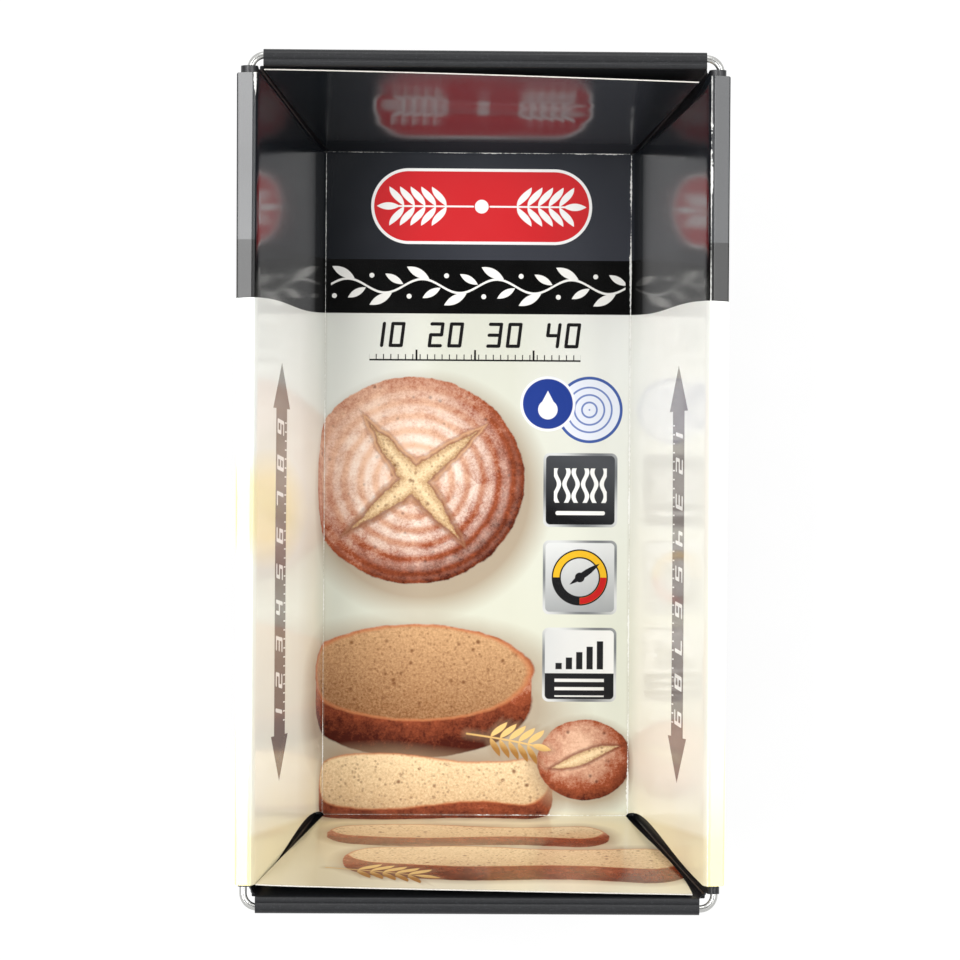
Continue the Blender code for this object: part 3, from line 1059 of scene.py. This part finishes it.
# %% Crust and crumb
crust_noise = noise_of(blank_map, scale=120, detail=6, roughness=0.62)
wrinkles = noise_of(blank_map, scale=330, detail=5, roughness=0.7)
pores = Term(cells_of(blank_map, scale=620))
wide_pores = Term(cells_of(blank_map, scale=260))
speckle = noise_of(blank_map, scale=1150, detail=3, roughness=0.8)


def crust(light):
    """The colour of baked crust, from shade at 0 to full light at 1."""
    tone = light + crust_noise * 0.7 + wrinkles * 0.7 + speckle * 0.6 - 1
    brown = blend(fade(tone, 0, 0.5), ink(70, 26, 16), ink(158, 80, 50))
    brown = blend(fade(tone, 0.45, 1), brown, ink(231, 190, 162))
    pits = fade(wide_pores, 0.06, 0.22, 1, 0) * fade(crust_noise, 0.42, 0.52)
    return blend(pits * 0.7, brown, ink(84, 36, 24))


def crumb(light, shaded, lit):
    """The colour of cut bread, with a grain of small bubbles and a few large ones."""
    grainy = light + speckle * 1.7 + wrinkles * 0.5 - 1.1
    base = blend(fade(grainy, 0, 1), shaded, lit)
    small = fade(pores, 0.15, 0.4, 1, 0) * fade(wrinkles, 0.4, 0.56)
    large = fade(wide_pores, 0.1, 0.26, 1, 0) * fade(crust_noise, 0.46, 0.53)
    return blend(larger(small * 0.55, large * 0.8), base, ink(112, 68, 40))


RYE = (ink(132, 88, 54), ink(210, 168, 124))
WHEATEN = (ink(176, 134, 92), ink(240, 214, 172))


def lumpy(distance, size):
    """The same edge, but uneven."""
    return distance + crust_noise * size - size / 2


# %% The round loaf
LOAF_CENTRE = (-22, 1)
LOAF_RADIUS = 38.5
LOAF_SQUASH = 1.07
RING_PITCH = 5.4
x, y = seen_from(LOAF_CENTRE)
card.shadow(disc(x - 3, (y + 5) * 1.04, LOAF_RADIUS), softness=9, strength=0.75)
reach = far(x, y * LOAF_SQUASH)
loaf = lumpy(reach - LOAF_RADIUS, 3)
out = reach / LOAF_RADIUS
card.shape(loaf, crust(0.95 - out * out * 0.55 + (y * 0.5 - x * 0.4) / LOAF_RADIUS * 0.55), softness=0.5)
rings = sine((reach + crust_noise * 3) * (2 * math.pi / RING_PITCH))
dusted = fade(rings, -0.9, 0.7) * fade(out, 1, 0.55) * fade(crust_noise + speckle * 0.6, 0.55, 1)
card.lay(cover(loaf + 1.4, 1.5) * dusted * 0.9, ink(246, 232, 220))
card.report("the round loaf")

# %% Its crossed scores
SCORE_REACH = 27
SCORE_SHARE = 0.92
SCORE_WIDTH = 3.4
score_x, score_y = turned(x, y, degrees=38)
one = leaf(score_x, score_y, SCORE_REACH, SCORE_WIDTH)
other = leaf(score_y, score_x, SCORE_REACH * SCORE_SHARE, SCORE_WIDTH)
cut = lumpy(smaller(one, other), 4)
card.lay(cover(cut - 1.6, 1.6) * 0.8, ink(112, 52, 34))
card.shape(cut, crumb(fade(cut, 0, -2.6, 0.1, 0.9), *WHEATEN), softness=0.6)
card.lay(cover(abs(cut - 0.9) - 0.4, 0.9) * fade(y, -14, 10, 0.2, 0.7), ink(232, 184, 140))
card.report("its scores")

# %% The halved loaf
HALF_CENTRE = (-21, -66)
HALF_RADIUS = 41
HALF_SQUASH = HALF_RADIUS / 17
HALF_DEPTH = 10
x, y = seen_from(HALF_CENTRE)
face = lumpy(disc(x, y * HALF_SQUASH, HALF_RADIUS) / HALF_SQUASH, 1.6)
below = disc(x, (y + HALF_DEPTH) * HALF_SQUASH * 0.86, HALF_RADIUS * 0.985) / HALF_SQUASH
side = block(x, y + HALF_DEPTH / 2, HALF_RADIUS - 0.6, HALF_DEPTH / 2)
body = smaller(face, lumpy(below, 1), side)
card.shadow(body + y * 0.12 - 1, softness=8, strength=0.7)
card.shape(body, crust(fade(y, -26, -6, 0, 0.7) - abs(x) / HALF_RADIUS * 0.25), softness=0.4)
card.shape(face + 0.3, ink(192, 122, 80), softness=0.8)
card.shape(face + 0.9, crumb(fade(y + x * 0.1, -16, 14, 0.15, 0.8), *RYE), softness=0.9)
card.report("the halved loaf")


# %% Slices that run on over the end panel
def slice_of_bread(centre, half, corner, depth):
    """A slice with its cut face up and a strip of crust along its near side."""
    x, y = seen_from(centre)
    wavy = lumpy(sine(x * 0.09) * 1.4, 1.6)
    whole = block(x, y, *half, corner=corner) + wavy
    top = block(x, y - depth / 2 - 0.7, half[0] - 1.2, half[1] - depth / 2 - 1, corner=corner - 2) + wavy
    card.shadow(whole, softness=6, strength=0.7)
    card.shape(whole, crust(fade(y, -half[1], half[1], 0.1, 0.7)), softness=0.4)
    card.shape(top - 0.4, ink(196, 124, 80), softness=0.8)
    card.shape(top, crumb(fade(y, -half[1], half[1], 0.2, 0.9), *WHEATEN), softness=0.8)


slice_of_bread((-16, -108), (42, 12.5), corner=11, depth=7)
slice_of_bread((-4, -END_FOOT - 26), (48, 12), corner=11, depth=9)
slice_of_bread((12, -END_FOOT - 58), (58, 18), corner=16, depth=14)
card.report("three slices")

# %% The small roll
ROLL_CENTRE = (38, -96)
ROLL_RADIUS = 16.5
x, y = seen_from(ROLL_CENTRE)
reach = far(x, y * 1.18)
roll = lumpy(reach - ROLL_RADIUS, 2)
card.shadow(roll + y * 0.15, softness=6, strength=0.75)
out = reach / ROLL_RADIUS
card.shape(roll, crust(0.92 - out * out * 0.6 + (y * 0.5 - x * 0.3) / ROLL_RADIUS * 0.5), softness=0.4)
split_x, split_y = turned(x, y - 1, degrees=14)
split = lumpy(leaf(split_x, split_y - sine(split_x * 0.16), 12, 2), 1.6)
card.lay(cover(split - 0.9, 0.9) * 0.7, ink(112, 54, 36))
card.shape(split, crumb(fade(split, 0, -1.6, 0.3, 1), *WHEATEN), softness=0.5)
card.report("the roll")


# %% Ears of wheat beside the bread
def golden_ear(place, degrees, size):
    x, y = turned(*seen_from(place), degrees)
    ear = wheat(x, y - sine(x * 0.08) * 0.9, pairs=5, grain=3.6 * size, pitch=3.3 * size)
    card.shadow(ear - 0.4, softness=2.4, strength=0.35)
    gold = blend(fade(y + speckle * 1.6, -2, 2.4), ink(158, 112, 56), ink(232, 194, 126))
    card.shape(ear, gold, softness=0.3)


golden_ear((-3, -87), degrees=-12, size=1)
golden_ear((-50, -END_FOOT - 66), degrees=-14, size=1.3)
card.report("two golden ears")

# %% [markdown]
# The marks at the right say nothing. A blue and a pale disc overlap. Below them stand three squares
# in silver frames, with wavy lines over a tray, a dial and a bar chart. A printed silver is a grey
# that runs from light to dark across the mark.

# %% The two discs
x, y = seen_from((29, 27))
silver_ink = blend(sine((u + v) * 0.21) * 0.5 + 0.5, ink(120, 123, 126), ink(214, 216, 216))
pale_disc = disc(x - 10, y + 1, 11.6)
card.shape(pale_disc, ink(66, 92, 160))
card.shape(pale_disc + 1, ink(226, 230, 240))
card.shape(larger(pale_disc + 2.4, -ticks(far(x - 10, y + 1), 2.6, 1.968)), ink(112, 132, 188))
blue_disc = disc(x + 4.5, y - 1, 9.6)
card.shape(blue_disc, ink(236, 238, 244))
card.shape(blue_disc + 0.9, ink(38, 62, 142))
drop_point = larger(abs(x + 4.5) + (y - 5.6) * 0.52, 0.4 - y)
card.shape(smaller(disc(x + 4.5, y + 1, 3.4), drop_point), ink(236, 238, 244))
card.report("two discs")

# %% A dark square with rising warmth
MARK_HALF = 12.9
MARK_FRAME = 0.9
MARK_CENTRES = [(36, -2 - 30.4 * i) for i in range(3)]
BLACK = ink(30, 30, 32)


def framed(x, y, face):
    card.shape(block(x, y, MARK_HALF, MARK_HALF, 2.2), silver_ink)
    inner = MARK_HALF - MARK_FRAME
    card.shape(block(x, y, inner, inner, 1.5), face)


x, y = seen_from(MARK_CENTRES[0])
framed(x, y, blend(fade(y + x * 0.4, -12, 12), ink(22, 22, 24), ink(78, 80, 84)))
warm_line = abs(ticks(x, 6.5, 3.2) - sine(y * 0.75) * 0.7) - 0.75
tray = block(x, y + 8, 8.6, 0.7, 0.6)
card.shape(smaller(larger(warm_line, abs(y - 1.6) - 6, abs(x) - 9.2), tray), ink(240, 240, 238))
card.report("the dark square")

# %% A dial
x, y = seen_from(MARK_CENTRES[1])
framed(x, y, blend(fade(y, 12, -12), ink(222, 224, 224), ink(160, 163, 165)))
ring = abs(disc(x, y, 9.8) + 1.6)
card.shape(ring - 1.6, BLACK)
card.shape(larger(ring - 1.1, smaller(-x, -y)), ink(232, 182, 40))
card.shape(larger(ring - 1.1, -x, y), ink(190, 34, 34))
hand_x, hand_y = turned(x, y, degrees=35)
card.shape(smaller(leaf(hand_x - 2, hand_y, 6.4, 1.1), disc(x, y, 1.7)), BLACK)
card.report("the dial")

# %% A bar chart
COLUMN = 3.6
CHART_HALF = 9
x, y = seen_from(MARK_CENTRES[2])
framed(x, y, blend(fade(x, -12, 12), ink(206, 208, 208), ink(236, 236, 234)))
column = formula("FLOOR", (x + CHART_HALF) / COLUMN)
off_column = abs(x + CHART_HALF - (column + 0.5) * COLUMN) - 1.1
columns = larger(off_column, abs(x) - CHART_HALF, -1.6 - y, y - column * 1.9 - 0.6)
below_chart = larger(block(x, y, 12, 12, 1.5), y + 3)
card.shape(smaller(below_chart, columns), ink(34, 34, 36))
card.shape(larger(ticks(y + 4, 2.9, 1.1), abs(x) - 8.6, abs(y + 7.2) - 4), ink(226, 226, 224))
card.report("the bar chart")

# %% The arrows up the side panels
ARROW_CENTRE = (111, -30)
ARROW_HALF = 69.5
HEAD_LENGTH = 15.3
HEAD_HALF = 10.9
SHAFT_HALF = 7
x, y = abs(u) - ARROW_CENTRE[0], v - ARROW_CENTRE[1]
before_tip = ARROW_HALF - abs(y)
head = larger(abs(x) - before_tip * (HEAD_HALF / HEAD_LENGTH), before_tip - HEAD_LENGTH)
shaft = block(x, y, SHAFT_HALF, ARROW_HALF - HEAD_LENGTH + 0.5)
arrow_ink = blend(fade(y + cloudy * 30, -60, 60), ink(104, 88, 82), ink(124, 116, 110))
card.shape(smaller(head, shaft), arrow_ink)
along = -y * formula("SIGN", u)
figures = numerals(along, x - 1, "1 2 3 4 5 6 7 8 9", pitch=6, height=7.2, weight=1.3)
gauge = larger(ticks(along, 3, 0.45), abs(x + 5.6) - 1.1, abs(y) - 50)
card.shape(smaller(figures, gauge), ink(250, 249, 246))
card.report("the arrows")

# %% [markdown]
# Where printed card is folded the ink cracks and the white board shows, most where hands touch the
# flap's crease. The cracks follow the distance from the crease lines of the blank, made ragged by
# the shared wear group. A thin painted shadow darkens the crease along the foot of each wall.

# %% The worn creases
FOOT_CRACK = {-1: 0.45, 1: 0.85}
FLAP_CRACK = {-1: -0.3, 1: 0.24}
RUBBED_END = (123.5, 130)
RUBBED_PLACE = 107
CRACK_STRENGTH = 0.9
FOOT_SHADOW_STRENGTH = 0.3

on_left = cover(u, 0.01)
foot_width = FOOT_CRACK[1] + on_left * (FOOT_CRACK[-1] - FOOT_CRACK[1])
flap_width = FLAP_CRACK[1] + on_left * (FLAP_CRACK[-1] - FLAP_CRACK[1])
flap_width += on_left * fade(v, *RUBBED_END, 0, 1.8)
flap_width += (1 - on_left) * fade(abs(v - RUBBED_PLACE), 14, 8) * 0.7
side_line = larger(abs(abs(u) - WALL_FOOT), abs(v) - END_FOOT)
end_line = larger(abs(abs(v) - END_FOOT) + 0.12, abs(u) - WALL_FOOT)
foot_line = smaller(side_line, end_line)
flap_line = abs(abs(u) - FLAP_CREASE)
cracked = []
for line, width in ((foot_line, foot_width), (flap_line, flap_width)):
    worn = use_group(card_tree, wear_group, {"Vector": blank_map, "Distance": line, "Width": width})
    cracked.append(Term(worn["Mask"]))
cracks = larger(*cracked)
# Painted shadow: a thin grey-brown line darkens the crease at the foot of each wall.
foot_crease_shadow = cover(foot_line - 0.5, 1.2) * (1 - header)
card.lay(foot_crease_shadow * FOOT_SHADOW_STRENGTH, ink(150, 140, 118))
card.lay(cracks * CRACK_STRENGTH, ink(236, 236, 232))
print(f"the flap's crease is {FLAP_CREASE:.1f} mm out on the blank")

# %% Gloss and fibres
FULL_GLOSS = 0.5
SCUFF_LOSS = 0.49
SCUFF_ZONE = (24, 12)
MATT_BAND_LOSS = 0.17
grain = use_group(card_tree, grain_group, {"Vector": blank_map, "Scale": 700, "Height": 3e-6})
scuffed = cover(-past_foot) * fade(past_foot, *SCUFF_ZONE) * header
set_looks(card_tree, {
    "Base Color": card.colour,
    "Roughness": fade(Term(grain["Broad"]), 0.3, 0.7, 0.11, 0.17) + cracks * 0.4,
    "Specular IOR Level": FULL_GLOSS - scuffed * SCUFF_LOSS - band * on_flap * MATT_BAND_LOSS,
    "IOR": 1.5,
    "Normal": grain["Normal"],
})


def board(material, dark, light, roughness):
    """Bare board: grey on the back, white where it is cut."""
    tree = material.node_tree
    place = add_node(tree, "TexCoord").outputs["Object"]
    fibres = use_group(tree, grain_group, {"Vector": place, "Scale": 1600, "Height": 3e-5})
    colour = blend(fade(Term(fibres["Fine"]), 0.3, 0.7), dark, light)
    set_looks(tree, {"Base Color": colour, "Roughness": roughness, "Normal": fibres["Normal"]})


board(card_back, ink(150, 147, 140), ink(182, 178, 169), roughness=0.85)
board(card_edge, ink(196, 193, 184), ink(224, 221, 212), roughness=0.8)
print("finished the card:", len(card_tree.nodes), "nodes on its printed face")

# %% [markdown]
# ## The metals
#
# The sheet has a black baked coating with fine metal flakes in it. It is neither glossy nor matt:
# its highlights are wide and soft, and the roller leaves a slight orange-peel texture. Where one
# trough slides on the other the tops of the rolls are rubbed a little lighter.

# %% Coated steel
FLAKE_SCALE = 2600
coated_steel = new_material("coated_steel")
tree = coated_steel.node_tree
place = add_node(tree, "TexCoord").outputs["Object"]
height = Term(add_node(tree, "SeparateXYZ", {0: place}).outputs["Z"]) * MAP_TO_MM
coat = use_group(tree, grain_group, {"Vector": place, "Scale": 1100, "Height": 1.2e-5})
flake_colour = cells_of(place, scale=FLAKE_SCALE, output="Color")
flake_tone = Term(add_node(tree, "SeparateXYZ", {0: flake_colour}).outputs["X"])
flakes = fade(flake_tone, 0.72, 1) * fade(Term(coat["Fine"]), 0.35, 0.65)
rub_line = (RIM_LEVEL + INNER_CURL) / MM - height
rubbed = Term(use_group(tree, wear_group, {"Vector": place, "Distance": rub_line, "Width": 0.5})["Mask"])
steel_colour = blend(flakes * 0.7, ink(17, 18, 21), ink(48, 50, 54))
set_looks(tree, {
    "Base Color": blend(rubbed * 0.35, steel_colour, ink(88, 88, 90)),
    "Roughness": fade(Term(coat["Broad"]), 0.3, 0.7, 0.34, 0.42) - flakes * 0.06,
    "IOR": 1.43,
    "Normal": coat["Normal"],
})
for piece in (outer_trough, inner_trough):
    piece.data.materials.append(coated_steel)
print("coated the troughs:", len(tree.nodes), "nodes")

# %% Bright wire
LINES_ALONG = 12
LINES_ROUND = 26
LINE_DEPTH = 2e-5
bright_wire = new_material("bright_wire")
tree = bright_wire.node_tree
along_map = add_node(tree, "UVMap", uv_map=WIRE_MAP).outputs["UV"]
stretch = {0: along_map, 1: (LINES_ALONG, LINES_ROUND, 1)}
stretched = add_node(tree, "VectorMath", stretch, operation="MULTIPLY").outputs["Vector"]
drawn = noise_of(stretched, scale=1, detail=3)
dull = noise_of(along_map, scale=90, detail=3)
set_looks(tree, {
    "Base Color": blend(fade(dull, 0.35, 0.65), ink(172, 172, 170), ink(204, 204, 201)),
    "Metallic": 1,
    "Roughness": fade(drawn, 0.3, 0.7, 0.16, 0.3),
    "Normal": add_node(tree, "Bump", {"Height": drawn, "Distance": LINE_DEPTH}).outputs["Normal"],
})
for piece in (outer_wire, inner_wire):
    piece.data.materials.append(bright_wire)
print("drew the wires:", len(tree.nodes), "nodes")

# %% [markdown]
# ## The studio
#
# The camera looks straight down from a little over a metre, as a catalogue picture is taken. Long
# soft lamps stand at the left and right, just where the tilted flaps mirror them, and a wide one
# stands beyond the far end. A dark card hangs over the pan, because a flat glossy print mirrors
# what is straight above it and looks black only if that is black.

# %% Point a thing at another
def facing(place, target):
    """A matrix at a place whose -Z looks at the target and whose Y keeps to the pan's length."""
    forward = (target - place).normalized()
    rightward = forward.cross(Vector((0, 1, 0))).normalized()
    turn = Matrix((rightward, rightward.cross(forward), -forward)).transposed().to_4x4()
    return Matrix.Translation(place) @ turn


# %% Camera
RIM_PLANE_DISTANCE = 1150 * MM
CAMERA_OFFSET = Vector((-20, -8)) * MM
CAMERA_AIM = Vector((-0.44, 0.68)) * MM
CAMERA_LENS = 133
CAMERA_SENSOR = 36
CAMERA_ROLL = math.radians(0.37)

camera_data = set_all(bpy.data.cameras.new("camera"), lens=CAMERA_LENS, sensor_width=CAMERA_SENSOR)
camera = add_object("camera", camera_data)
place = Vector((*CAMERA_OFFSET, RIM_LEVEL + RIM_PLANE_DISTANCE))
target = Vector((*CAMERA_AIM, RIM_LEVEL))
camera.matrix_world = facing(place, target) @ Matrix.Rotation(CAMERA_ROLL, 4, "Z")
bpy.context.scene.camera = camera
print("camera at", [round(c, 3) for c in place])


# %% [markdown]
# A white page comes from two things. The world is full white to the camera and to reflections but
# dimmer as a light. The floor glows only towards those same rays, so that it doesn't change the
# object's light, and its own colour is dark to them, which leaves the shadow.

# %% Tell which rays should see white
def seen_directly(tree):
    ray = add_node(tree, "LightPath").outputs
    return larger(Term(ray["Is Camera Ray"]), ray["Is Glossy Ray"], ray["Is Transmission Ray"])


# %% Floor
FLOOR_SIDE = 6
FLOOR_DROP = 0.1 * MM
FLOOR_TONE = 0.8
FLOOR_GLOW = 0.88
FLOOR_SHADE = 0.12
WHITE_LIGHT = (1, 1, 1, 1)


def stage_sheet(name, side, place, material):
    bm = bmesh.new()
    bmesh.ops.create_grid(bm, x_segments=1, y_segments=1, size=side / 2)
    sheet = add_piece(name, bm)
    sheet.location = place
    sheet.data.materials.append(material)
    print(f"{name}: {side} m square")
    return sheet


white_floor = new_material("white_floor")
tree = white_floor.node_tree
seen = seen_directly(tree)
paper = noise_of(add_node(tree, "TexCoord").outputs["Object"], 40, detail=3)
set_looks(tree, {
    "Base Color": fade(seen, 0, 1, FLOOR_TONE, FLOOR_SHADE) + paper * 0.02,
    "Specular IOR Level": 0,
    "Emission Color": WHITE_LIGHT,
    "Emission Strength": seen * FLOOR_GLOW,
})
stage_sheet("floor", FLOOR_SIDE, (0, 0, -FLOOR_DROP), white_floor)

# %% World
WORLD_LIGHT = 0.72
world = set_all(bpy.data.worlds.new("studio"), use_nodes=True)
bpy.context.scene.world = world
tree = world.node_tree
sky_light = fade(seen_directly(tree), 0, 1, WORLD_LIGHT, 1)
plug_all(tree.nodes["Background"], {"Color": WHITE_LIGHT, "Strength": sky_light})
print(f"the world is white, and {WORLD_LIGHT} of white as a light")

# %% Dark card overhead
DARK_CARD_SIDE = 0.6
DARK_CARD_LEVEL = 1.4
NEARLY_BLACK = (0.01, 0.01, 0.01, 1)
dark_card = new_material("dark_card")
set_looks(dark_card.node_tree, {"Base Color": NEARLY_BLACK, "Roughness": 0.9})
overhead = stage_sheet("dark_card", DARK_CARD_SIDE, (0, 0, DARK_CARD_LEVEL), dark_card)
set_all(overhead, visible_camera=False, visible_diffuse=False, visible_shadow=False)

# %% Soft boxes
def soft_box(name, place, size, radiance):
    width, length = size
    light = bpy.data.lights.new(name, "AREA")
    energy = radiance * math.pi * width * length
    set_all(light, shape="RECTANGLE", size=width, size_y=length, energy=energy)
    lamp = add_object(name, light)
    lamp.matrix_world = facing(Vector(place), Vector((0, 0, RIM_LEVEL)))
    lamp.visible_camera = False
    print(f"{name}: {width} by {length} m")


soft_box("left_strip", (-0.605, 0.05, 1.29), (0.34, 1), radiance=10)
soft_box("right_strip", (0.56, 0.05, 1.29), (0.155, 1), radiance=7.5)
soft_box("right_edge", (0.745, 0.05, 1.2), (0.21, 1), radiance=4.8)
soft_box("far_box", (0, 1.3, 0.9), (0.8, 0.5), radiance=3)

bpy.context.scene.view_settings.view_transform = "Standard"
